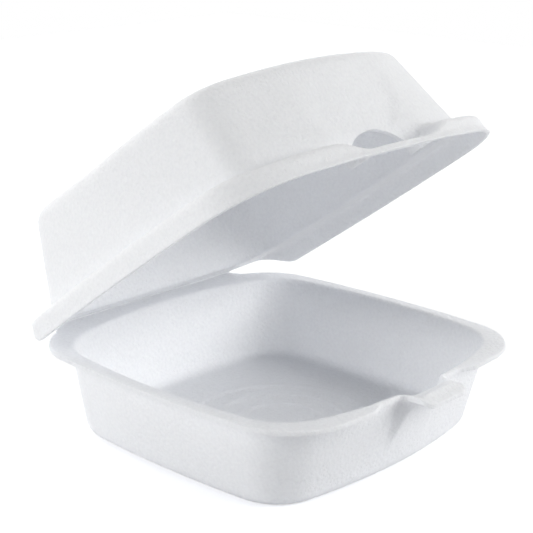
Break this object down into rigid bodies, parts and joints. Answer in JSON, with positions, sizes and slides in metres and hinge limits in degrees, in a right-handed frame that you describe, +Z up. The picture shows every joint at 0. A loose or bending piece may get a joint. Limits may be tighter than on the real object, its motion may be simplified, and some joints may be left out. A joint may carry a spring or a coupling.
{
  "type": "foam clamshell container",
  "caption": "Square foam takeaway box: a deep tray with a flat rim and a taller hinged lid whose front slot takes the tray's latch tab.",
  "frame": {"origin": "on the table under the tray, on its left-right middle plane", "axes": "+Z up, -Y towards the latch at the front, +Y towards the hinge, +X to the right seen from the front"},
  "size_m": [0.1526, 0.1686, 0.1488],
  "materials": {
    "foam": "white expanded foam sheet with a fine cell texture"
  },
  "bodies": {
    "tray": {"base": "foam"},
    "cover": {"lid": "foam"}
  },
  "joints": [
    {"name": "lid_hinge", "type": "hinge", "parent": "tray", "child": "cover", "pos_m": [0, 0.0767, 0.0359], "axis": [-1, 0, 0], "range_deg": [-35.2, 134.8]}
  ]
}
